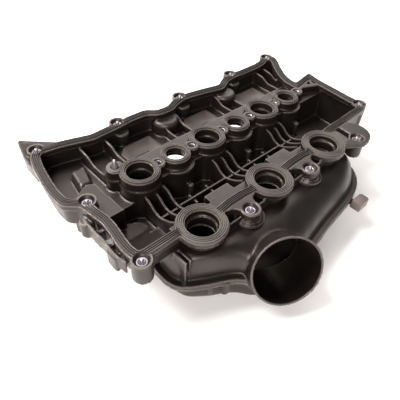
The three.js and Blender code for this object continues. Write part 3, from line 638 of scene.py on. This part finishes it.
# ---------------------------------------------------------------- intake manifold
ROOF = [
    (-22, PLENUM_BACK), (20, PLENUM_BACK), (70, PLENUM_BACK), (130, PLENUM_BACK), (204, PLENUM_BACK),
    (206, 8), (206, -8), (202, -18), (160, -21), (125, -22), (98, -22), (70, -22), (45, -22),
    (24, -22), (8, -22), (-12, -19), (-22, -9), (-24, 6),
]
SEAM_PLAN = [
    (-33, PLENUM_BACK), (20, PLENUM_BACK), (70, PLENUM_BACK), (130, PLENUM_BACK), (204, PLENUM_BACK),
    (214, 8), (229, -4), (219, -27), (196, -42), (125, -54), (98, -59), (70, -64), (45, -64),
    (26, -56), (10, -38), (-18, -22), (-34, -10), (-37, 6),
]
FOOT = [
    (-6, 16), (20, 16), (70, 16), (130, 16), (190, 16),
    (200, 6), (204, -6), (198, -20), (180, -32), (125, -44), (98, -50), (70, -56), (48, -56),
    (30, -50), (18, -36), (-8, -18), (-16, -8), (-17, 4),
]
PLAN_STEPS = 6                    # points of the curve between two plan points
UNDER_LEVELS, OVER_LEVELS = 10, 11
STIFFENER = {"x": (-33, -28), "thick": 2.2, "top": -17}
PEGS = ((-13, -29, 2.4, 17, 24), (0, -36, 4.6, 18, 32))    # x, y, radius, length, sides


def smooth_loop(points):
    """Centripetal curve through a closed list of points, counter-clockwise."""
    points = [Vector(p) for p in points[::-1]]
    n = len(points)
    out = []
    for i in range(n):
        p0, p1, p2, p3 = (points[(i + k) % n] for k in (-1, 0, 1, 2))
        d0, d1, d2 = (math.sqrt((b - a).length) for a, b in ((p0, p1), (p1, p2), (p2, p3)))
        m1 = ((p1 - p0) / d0 - (p2 - p0) / (d0 + d1) + (p2 - p1) / d1) * d1
        m2 = ((p2 - p1) / d1 - (p3 - p1) / (d1 + d2) + (p3 - p2) / d2) * d1
        for k in range(PLAN_STEPS):
            t = k / PLAN_STEPS
            q = (
                p1 * (2 * t ** 3 - 3 * t ** 2 + 1) + m1 * (t ** 3 - 2 * t ** 2 + t)
                + p2 * (3 * t ** 2 - 2 * t ** 3) + m2 * (t ** 3 - t ** 2)
            )
            out.append((q.x, q.y))
    return out


def between(a, b, share, z):
    return [(p[0] + (q[0] - p[0]) * share, p[1] + (q[1] - p[1]) * share, z) for p, q in zip(a, b)]


def plenum_body(skin):
    """Plenum inside an even skin; a negative skin gives the space that it needs."""
    roof, seam, foot = (offset(smooth_loop(plan), -skin) for plan in (ROOF, SEAM_PLAN, FOOT))
    top = PLENUM_TOP - skin
    low = BOTTOM + skin
    levels = []
    for k in range(UNDER_LEVELS + 1):
        t = k / UNDER_LEVELS * math.pi / 2
        levels.append(between(foot, seam, math.sin(t), low + (SEAM - low) * (1 - math.cos(t))))
    for k in range(1, OVER_LEVELS + 1):
        t = k / OVER_LEVELS * math.pi / 2
        levels.append(between(roof, seam, math.cos(t), SEAM + (top - SEAM) * math.sin(t)))
    return loft(levels)


def duct_body(skin, overrun, count=96):
    """Round duct from its mouth down into the plenum; overrun carries it past the mouth."""
    rings = []
    azimuth = DUCT["azimuth"]
    for t in [-overrun, 0] + [k / 10 for k in range(1, 11)]:
        bend = max(0, t)
        rise = DUCT["rise"] * (1 - bend)
        level = math.cos(rise)
        axis = Vector((level * math.sin(azimuth), level * math.cos(azimuth), math.sin(rise)))
        side = Vector((0, 0, 1)).cross(axis).normalized()
        up = axis.cross(side)
        centre = DUCT["mouth"].lerp(DUCT["throat"], t)
        centre.z -= DUCT["sag"] * math.sin(bend * math.pi)
        radius = DUCT["radius"] + (DUCT["throat_radius"] - DUCT["radius"]) * bend ** 2 - skin
        rings.append([
            centre + side * radius * math.cos(a) + up * radius * math.sin(a)
            for a in (i * 2 * math.pi / count for i in range(count))
        ])
    if overrun == 0:
        rings = rings[1:]
    return loft(rings[::-1])


def seam_rim(width, low, high):
    """Weld flange along the sides of the plenum that stand clear of the cover."""
    ring = prism(offset(smooth_loop(SEAM_PLAN), width), low, high)
    open_sides = union([
        block(-FAR, FAR, -FAR, 1, low - 1, high + 1),
        block(-FAR, 0, -FAR, PLENUM_BACK - 0.5, low - 2, high + 2),
    ])
    return meet(ring, open_sides)


def bolt_tubes(radius):
    return [post(x, y, radius, -FAR, FAR) for x, y in (BOLTS[7], BOLTS[8])]


def plenum_shell(extras, skin):
    """Hollow plenum with the two tubes that carry the bolts through it."""
    hollow = cut(plenum_body(SHELL), bolt_tubes(BOLT_TUBE["outer"]))
    return cut(union([skin] + extras), [hollow] + bolt_tubes(BOLT_TUBE["inner"]))


def blend_zone():
    """Space round the root of the duct where its fillet may stand proud of both bodies."""
    return post(DUCT["throat"].x, DUCT["throat"].y, 50, SEAM, PLENUM_TOP - 0.5)


def manifold_upper():
    rim = seam_rim(SEAM_FLANGE["width"], SEAM + GAP / 2, SEAM + SEAM_FLANGE["thick"])
    stiffeners = [
        block(x, x + STIFFENER["thick"], -16, 1, SEAM + 2, STIFFENER["top"]) for x in STIFFENER["x"]
    ]
    solid_form = union([plenum_body(0), duct_body(0, 0)])
    skin = moulded(solid_form, voxel=VOXEL * 1.5, rounds=12, keep=0.5)
    skin = meet(skin, union([plenum_body(0), duct_body(0, 0), blend_zone()]))
    shell = cut(
        plenum_shell([rim] + stiffeners, skin),
        [post(x, y, PORT_THROAT, PLENUM_TOP - 8, PLENUM_TOP + 1) for x, y in PORTS],
    )
    above = block(-FAR, FAR, -FAR, FAR, SEAM + GAP / 2, FAR)
    return cut(union([meet(shell, above), duct_body(0, 0)]), [duct_body(DUCT["wall"], 0.1)])


def manifold_lower():
    rim = seam_rim(SEAM_FLANGE["width"], SEAM - SEAM_FLANGE["thick"], SEAM - GAP / 2)
    pegs = [
        post(x, y, radius, SEAM - length, SEAM - 2, sides) for x, y, radius, length, sides in PEGS
    ]
    shell = cut(plenum_shell([rim] + pegs, plenum_body(0)), [duct_body(-GAP, 0.5)])
    return meet(shell, block(-FAR, FAR, -FAR, FAR, BOTTOM, SEAM - GAP / 2))


# ---------------------------------------------------------------- seals
BEAD_BASE = -1.1
BEAD_TOP = 0.0
SEAL_BASE = -2.4
BEAD_ROOT = BEAD_BASE - 0.3       # beads start inside the flat seal
BEAD_WIDTH = 1.1
CROWN = 0.45
RAIL_BEADS = (-2.85, -0.95, 0.95, 2.85)
SEAL_LIP = {"bore": 1.4, "ring": 1.2}
PAD_TOP = FLANGE_TOP + 0.7


def rail_loft(sections):
    """Solid inside the rail line through (shift, height) sections, lowest first."""
    return loft([[(x, y, height) for x, y in rail_line(shift)] for shift, height in sections])


def bead_loop(shift):
    """Raised bead that runs beside the rail's centre line."""
    half, crown = BEAD_WIDTH / 2, CROWN / 2
    outer = [(shift + half, BEAD_ROOT), (shift + half, BEAD_BASE), (shift + crown, BEAD_TOP)]
    inner = [
        (shift - half, BEAD_BASE - 1), (shift - half, BEAD_BASE),
        (shift - crown, BEAD_TOP), (shift - crown, BEAD_TOP + 1),
    ]
    return cut(rail_loft(outer), [rail_loft(inner)])


def bead_ring(x, y, radius):
    half, crown = BEAD_WIDTH / 2, CROWN / 2
    return lathe(x, y, [
        (radius - half, BEAD_ROOT), (radius + half, BEAD_ROOT), (radius + half, BEAD_BASE),
        (radius + crown, BEAD_TOP), (radius - crown, BEAD_TOP), (radius - half, BEAD_BASE),
    ])


def ring_beads(x, y, inner, outer, count):
    """Even row of round beads between two radii."""
    step = (outer - inner - BEAD_WIDTH) / (count - 1)
    return [bead_ring(x, y, inner + BEAD_WIDTH / 2 + k * step) for k in range(count)]


def flat_ring(x, y, inner, outer):
    return lathe(x, y, [(inner, SEAL_BASE), (outer, SEAL_BASE), (outer, BEAD_BASE), (inner, BEAD_BASE)])


def seal_rail():
    """Seal on the rail and round the three ports."""
    low = SEAL_BASE - 1
    eye = MOUTH + GAP
    inner, outer = PORT_BORE + SEAL_LIP["bore"], PORT_RING - SEAL_LIP["ring"]
    discs = [post(x, y, PORT_RING - 3, low, ABOVE) for x, y in PORTS]
    eyes = [post(x, y, eye, low, ABOVE) for x, y in BOLTS]
    band = cut(
        prism(rail_line(SEAL_HALF), SEAL_BASE, BEAD_BASE), [prism(rail_line(-SEAL_HALF), low, ABOVE)]
    )
    beads = [bead_loop(shift) for shift in RAIL_BEADS]
    collars = [
        flat_ring(x, y, eye, BOSS_RADIUS - GAP)
        for i, (x, y) in enumerate(BOLTS) if i not in EAR_BOLTS
    ]
    straight = cut(union([band] + beads), discs + eyes)
    rings = [flat_ring(x, y, inner, outer) for x, y in PORTS]
    rims = [bead for x, y in PORTS for bead in ring_beads(x, y, inner, outer, 4)]
    return union([straight] + collars + rings + rims)


def seal_wells():
    """Seal on the row of wells and the dowel boss."""
    low = SEAL_BASE - 1
    parts = []
    for x, y, kind in WELLS:
        inner, outer = kind["bore"] + SEAL_LIP["bore"], kind["ring"] - SEAL_LIP["ring"]
        parts.append(flat_ring(x, y, inner, outer))
        parts += ring_beads(x, y, inner, outer, 3)
    pads = [post(x, y, 7, FLANGE_TOP, PAD_TOP) for x, y in CENTRE_SLEEVES]
    webs = [
        strip([(0, 92), (252, 90.5)], 7, FLANGE_TOP, PAD_TOP),
        strip([DOWEL, (0, 92)], 10, FLANGE_TOP, PAD_TOP),
        post(*DOWEL, BOSS_RADIUS - 1, FLANGE_TOP, PAD_TOP),
    ]
    holes = [post(x, y, 5, low, ABOVE) for x, y in CENTRE_SLEEVES + [DOWEL]]
    solids = [post(x, y, kind["ring"] - 3, low, ABOVE) for x, y, kind in WELLS]
    return union([cut(union(pads + webs), holes + solids)] + parts)


# ---------------------------------------------------------------- hardware
def captive_bolt(x, y):
    """Flanged hex bolt with rolled threads and a dog point, point up."""
    shank, flange, top, tip = (BOLT[k] for k in ("shank", "flange", "head_top", "tip"))
    profile = [(0, top - 1.5), (flange, top - 1.5), (flange, top - 0.6), (shank, top)]
    z = top + THREAD["margin"]
    while z < tip - THREAD["margin"]:
        profile += [(shank - THREAD["depth"], z), (shank, z + THREAD["rise"])]
        z += THREAD["pitch"]
    profile += [
        (shank, tip - THREAD["margin"]), (2.1, tip - 2.2), (1.9, tip - 1.0), (1.3, tip - 0.2),
        (0.6, tip), (0, tip),
    ]
    stem = lathe(x, y, profile, 32)
    head = post(x, y, BOLT["across"] / math.sqrt(3), top - 6.2, top - 1, 6)
    return union([stem, head])


def tube(x, y, outer, inner, low, high):
    """Sleeve with broken edges at its upper end."""
    edge = 0.5
    return lathe(x, y, [
        (inner, low), (outer, low), (outer, high - edge), (outer - edge, high),
        (inner + edge, high), (inner, high - edge),
    ], 48)


def dowel_pin():
    return lathe(*DOWEL, [
        (0, -10), (DOWEL_RADIUS, -10), (DOWEL_RADIUS, 0.6), (3.2, 1.4), (2.9, 2.6), (1.9, 6.6),
        (1.5, 7.4), (0.9, 7.9), (0, 8),
    ], 40)


def baffle_plate(x):
    outline = [(x - 24, 126), (x + 16, 126), (x + 22, 134), (x + 22, 158), (x - 14, 158), (x - 24, 148)]
    plate = prism(rounded(outline, 2), BACK_FLOOR + GAP, BACK_FLOOR + WALL)
    return cut(plate, [strip([(x - 18, 132), (x + 4, 132)], 4.4, BACK_FLOOR, BACK_FLOOR + 5)])


def harness_clip():
    under = SEAM - SEAM_FLANGE["thick"] - GAP
    return union([
        block(185, 193, -58, -46, under - 4, under),
        block(184, 201, -66, -54, under - 6, under + 5),
        block(199, 207, -63, -54, under - 8, under + 1),
    ])


# ---------------------------------------------------------------- finishing
def datum_shift():
    """Engine frame origin in the row frame, in metres."""
    index = 8
    low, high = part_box(f"bolt_sleeve_{index + 1:02d}")
    x, y = BOLTS[index]
    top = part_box("perimeter_gasket")[1].z
    return Vector(((low.x + high.x) / 2 - x / 1000, (low.y + high.y) / 2 - y / 1000, top))


SHIFT = datum_shift()


def at(x, y, z):
    return Vector((x, y, z)) / 1000 + SHIFT


def finish_piece(obj, name, body, nodes, material, smooth_angle=40):
    """Places a finished shape in the row frame, parents it to its body and hides the CAD parts that it
    replaces.
    """
    obj.name = name
    obj.data.name = name
    obj.data.transform(Matrix.Translation(SHIFT) @ Matrix.Scale(0.001, 4))
    obj.data.materials.clear()
    obj.data.materials.append(material)
    for polygon in obj.data.polygons:
        polygon.use_smooth = True
        polygon.material_index = 0
    obj.data.set_sharp_from_angle(angle=math.radians(smooth_angle))
    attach(obj, body)
    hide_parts(*nodes)
    return obj


def moulded(obj, voxel, rounds, keep):
    """Rounds the corners of a moulded body as a fine remesh."""
    remesh = obj.modifiers.new("remesh", "REMESH")
    remesh.mode = "VOXEL"
    remesh.voxel_size = voxel
    remesh.adaptivity = 0
    bake(obj)
    smooth = obj.modifiers.new("smooth", "SMOOTH")
    smooth.factor = 0.5
    smooth.iterations = rounds
    bake(obj)
    if keep < 1:
        thin = obj.modifiers.new("thin", "DECIMATE")
        thin.ratio = keep
        bake(obj)
    return obj


def softened(obj, width, segments=2, angle=35):
    bevel = obj.modifiers.new("bevel", "BEVEL")
    bevel.width = width
    bevel.segments = segments
    bevel.limit_method = "ANGLE"
    bevel.angle_limit = math.radians(angle)
    return bake(obj)


# ---------------------------------------------------------------- materials
class Nodes:
    """Short calls for building one node material."""

    def __init__(self, name):
        self.material = bpy.data.materials.new(name)
        self.material.use_nodes = True
        self.tree = self.material.node_tree
        self.shader = self.tree.nodes["Principled BSDF"]
        self.place = self.node("ShaderNodeTexCoord").outputs["Object"]

    def node(self, kind, **sockets):
        made = self.tree.nodes.new(kind)
        for key, value in sockets.items():
            self.feed(made.inputs[key.replace("_", " ")], value)
        return made

    def feed(self, socket, value):
        if isinstance(value, bpy.types.NodeSocket):
            self.tree.links.new(value, socket)
        else:
            socket.default_value = value

    def noise(self, scale, detail=4.0, rough=0.5):
        made = self.node("ShaderNodeTexNoise", Scale=scale, Detail=detail, Roughness=rough)
        self.feed(made.inputs["Vector"], self.place)
        return made.outputs["Fac"]

    def ramp(self, value, stops):
        made = self.node("ShaderNodeValToRGB")
        self.feed(made.inputs["Fac"], value)
        elements = made.color_ramp.elements
        while len(elements) < len(stops):
            elements.new(0.5)
        for element, (position, colour) in zip(elements, stops):
            element.position = position
            element.color = (*colour, 1)
        return made.outputs["Color"]

    def span(self, value, low, high, to_low, to_high):
        made = self.node("ShaderNodeMapRange")
        for key, number in (("From Min", low), ("From Max", high), ("To Min", to_low), ("To Max", to_high)):
            made.inputs[key].default_value = number
        self.feed(made.inputs["Value"], value)
        return made.outputs["Result"]

    def mix(self, share, first, second):
        made = self.tree.nodes.new("ShaderNodeMix")
        made.data_type = "RGBA"
        for socket, value in ((made.inputs[0], share), (made.inputs[6], first), (made.inputs[7], second)):
            self.feed(socket, value if not isinstance(value, tuple) else (*value, 1))
        return made.outputs[2]

    def bump(self, height, strength, distance, normal=None):
        made = self.node("ShaderNodeBump", Strength=strength, Distance=distance)
        self.feed(made.inputs["Height"], height)
        if normal:
            self.feed(made.inputs["Normal"], normal)
        return made.outputs["Normal"]

    # Mask of convex edges and crests from pointiness; the materials use it to paint highlights there.
    def edge(self, low, high):
        geometry = self.node("ShaderNodeNewGeometry")
        return self.span(geometry.outputs["Pointiness"], low, high, 0.0, 1.0)


NYLON_TONES = [(0.3, (0.0045, 0.0036, 0.0033)), (0.7, (0.0080, 0.0064, 0.0057))]
# Lighter colour painted onto convex nylon edges as a highlight.
NYLON_EDGE_HIGHLIGHT = (0.12, 0.10, 0.09)
RUBBER_TONES = [(0.3, (0.007, 0.0057, 0.0052)), (0.7, (0.013, 0.0106, 0.0096))]
# Lighter colour painted onto convex seal edges as a highlight.
RUBBER_EDGE_HIGHLIGHT = (0.085, 0.075, 0.068)
STEEL_TONES = [(0.3, (0.30, 0.29, 0.32)), (0.7, (0.42, 0.41, 0.45))]


def nylon_material():
    n = Nodes("glass_filled_nylon")
    tone = n.ramp(n.noise(28, 5), NYLON_TONES)
    # Convex edges and crests are mixed towards a lighter colour: a painted highlight for the sheen on rib
    # crests and flange edges.
    tone_and_highlight = n.mix(n.edge(0.508, 0.57), tone, NYLON_EDGE_HIGHLIGHT)
    n.feed(n.shader.inputs["Base Color"], tone_and_highlight)
    n.feed(n.shader.inputs["Roughness"], n.span(n.noise(60, 6), 0.3, 0.7, 0.32, 0.46))
    grain = n.bump(n.noise(2600, 3, 0.6), 0.25, 0.00008)
    n.feed(n.shader.inputs["Normal"], n.bump(n.noise(180, 3), 0.18, 0.0003, grain))
    n.shader.inputs["Specular IOR Level"].default_value = 0.5
    n.shader.inputs["Specular Tint"].default_value = (1.0, 0.9, 0.84, 1)
    return n.material


def rubber_material():
    n = Nodes("seal_rubber")
    tone = n.ramp(n.noise(45, 4), RUBBER_TONES)
    # Convex edges and bead crests are mixed towards a lighter colour: a painted highlight for the sheen on
    # the bead crests.
    n.feed(n.shader.inputs["Base Color"], n.mix(n.edge(0.505, 0.58), tone, RUBBER_EDGE_HIGHLIGHT))
    n.feed(n.shader.inputs["Roughness"], n.span(n.noise(90, 5), 0.3, 0.7, 0.5, 0.66))
    n.feed(n.shader.inputs["Normal"], n.bump(n.noise(1500, 3), 0.2, 0.00006))
    return n.material


def steel_material():
    n = Nodes("zinc_steel")
    n.feed(n.shader.inputs["Base Color"], n.ramp(n.noise(300, 3), STEEL_TONES))
    n.shader.inputs["Metallic"].default_value = 0.85
    n.feed(n.shader.inputs["Roughness"], n.span(n.noise(400, 4), 0.3, 0.7, 0.34, 0.46))
    n.feed(n.shader.inputs["Normal"], n.bump(n.noise(900, 2), 0.05, 0.00002))
    return n.material


NYLON = nylon_material()
RUBBER = rubber_material()
STEEL = steel_material()

# ---------------------------------------------------------------- camera, floor and light
CAMERA_PLACE = (-169.03, -166.34, 262.24)
CAMERA_FORWARD = Vector((0.50318, 0.50107, -0.70409)).normalized()
CAMERA_RIGHT = Vector((0.736, -0.676, 0.045))
LIGHT_COLOUR = (1.0, 0.94, 0.90)


def add_camera():
    data = bpy.data.cameras.new("camera")
    data.sensor_width = 36
    data.lens = 36.04
    data.shift_x = -0.005
    data.clip_end = 20
    camera = bpy.data.objects.new("camera", data)
    SCENE.collection.objects.link(camera)
    forward = CAMERA_FORWARD
    right = (CAMERA_RIGHT - forward * CAMERA_RIGHT.dot(forward)).normalized()
    turn = Matrix((right, right.cross(forward), -forward)).transposed().to_4x4()
    camera.matrix_world = Matrix.Translation(at(*CAMERA_PLACE)) @ turn
    SCENE.camera = camera


def add_floor(half_side=6.0, drop_below=0.0005):
    corners = [(x * half_side, y * half_side, 0) for x, y in ((-1, -1), (1, -1), (1, 1), (-1, 1))]
    mesh = bpy.data.meshes.new("floor")
    mesh.from_pydata(corners, [], [(0, 1, 2, 3)])
    floor = bpy.data.objects.new("floor", mesh)
    SCENE.collection.objects.link(floor)
    floor.location.z = CAD_BOX[0].z - drop_below
    paper = bpy.data.materials.new("paper")
    paper.use_nodes = True
    shader = paper.node_tree.nodes["Principled BSDF"]
    shader.inputs["Base Color"].default_value = (0.92, 0.92, 0.92, 1)
    shader.inputs["Roughness"].default_value = 0.9
    mesh.materials.append(paper)


def add_world(strength):
    world = bpy.data.worlds.new("studio")
    SCENE.world = world
    world.use_nodes = True
    background = world.node_tree.nodes["Background"]
    background.inputs["Color"].default_value = (1, 1, 1, 1)
    background.inputs["Strength"].default_value = strength


def area_light(name, place, target, size, power):
    data = bpy.data.lights.new(name, "AREA")
    data.shape = "DISK"
    data.size = size
    data.energy = power
    data.color = LIGHT_COLOUR
    light = bpy.data.objects.new(name, data)
    SCENE.collection.objects.link(light)
    light.location = place
    light.rotation_euler = (Vector(target) - Vector(place)).to_track_quat("-Z", "Y").to_euler()


add_camera()
add_floor()
add_world(strength=0.24)
SCENE.view_settings.view_transform = "Standard"
area_light("back", place=(1.3, 1.3, 1.7), target=(0, 0, 0), size=2.4, power=44)
area_light("key", place=(-0.7, 1.0, 1.6), target=(0, 0, 0), size=1.2, power=85)
area_light("fill", place=(-1.2, -0.9, 0.9), target=(0, 0, 0.03), size=1.0, power=30)

# ---------------------------------------------------------------- pieces
finish_piece(
    moulded(cover_shell(), voxel=VOXEL, rounds=3, keep=KEEP),
    "cover_moulding", "root", ["cover_shell"], NYLON,
)
finish_piece(
    moulded(manifold_upper(), voxel=VOXEL, rounds=6, keep=KEEP),
    "manifold_upper_moulding", "root", ["manifold_upper_shell", "inlet_duct"], NYLON,
)
finish_piece(
    moulded(manifold_lower(), voxel=VOXEL, rounds=4, keep=KEEP),
    "manifold_lower_moulding", "root", ["manifold_lower_shell"], NYLON,
)
finish_piece(seal_rail(), "rail_seal", "root", ["perimeter_gasket"], RUBBER, CRISP)
finish_piece(seal_wells(), "well_seal", "root", ["centre_gasket"], RUBBER, CRISP)
for number, (bolt_x, bolt_y) in enumerate(BOLTS, 1):
    label = f"{number:02d}"
    finish_piece(
        captive_bolt(bolt_x, bolt_y), f"cover_bolt_{label}", f"bolt_{label}",
        [f"captive_bolt_{label}"], STEEL, CRISP,
    )
    finish_piece(
        tube(bolt_x, bolt_y, SLEEVE["outer"], SLEEVE["inner"], SLEEVE["bottom"], SLEEVE["top"]),
        f"sleeve_{label}", "root", [f"bolt_sleeve_{label}"], STEEL, CRISP,
    )
for number, (sleeve_x, sleeve_y) in enumerate(CENTRE_SLEEVES, 1):
    finish_piece(
        tube(
            sleeve_x, sleeve_y, CENTRE_SLEEVE["outer"], CENTRE_SLEEVE["inner"],
            LEDGE_TOP - WALL, FLANGE_TOP - CENTRE_SLEEVE["drop"],
        ),
        f"well_row_sleeve_{number}", "root", [f"centre_sleeve_{number}"], STEEL, CRISP,
    )
finish_piece(dowel_pin(), "locating_dowel", "root", ["dowel_pin"], STEEL, CRISP)
for number in range(CYLINDERS):
    finish_piece(
        softened(baffle_plate(number * PITCH + BAFFLE_X), 0.6), f"baffle_{number + 1}", "root",
        [f"baffle_plate_{number + 1}"], NYLON,
    )
finish_piece(softened(harness_clip(), 0.8), "cable_clip", "root", ["harness_clip"], NYLON)
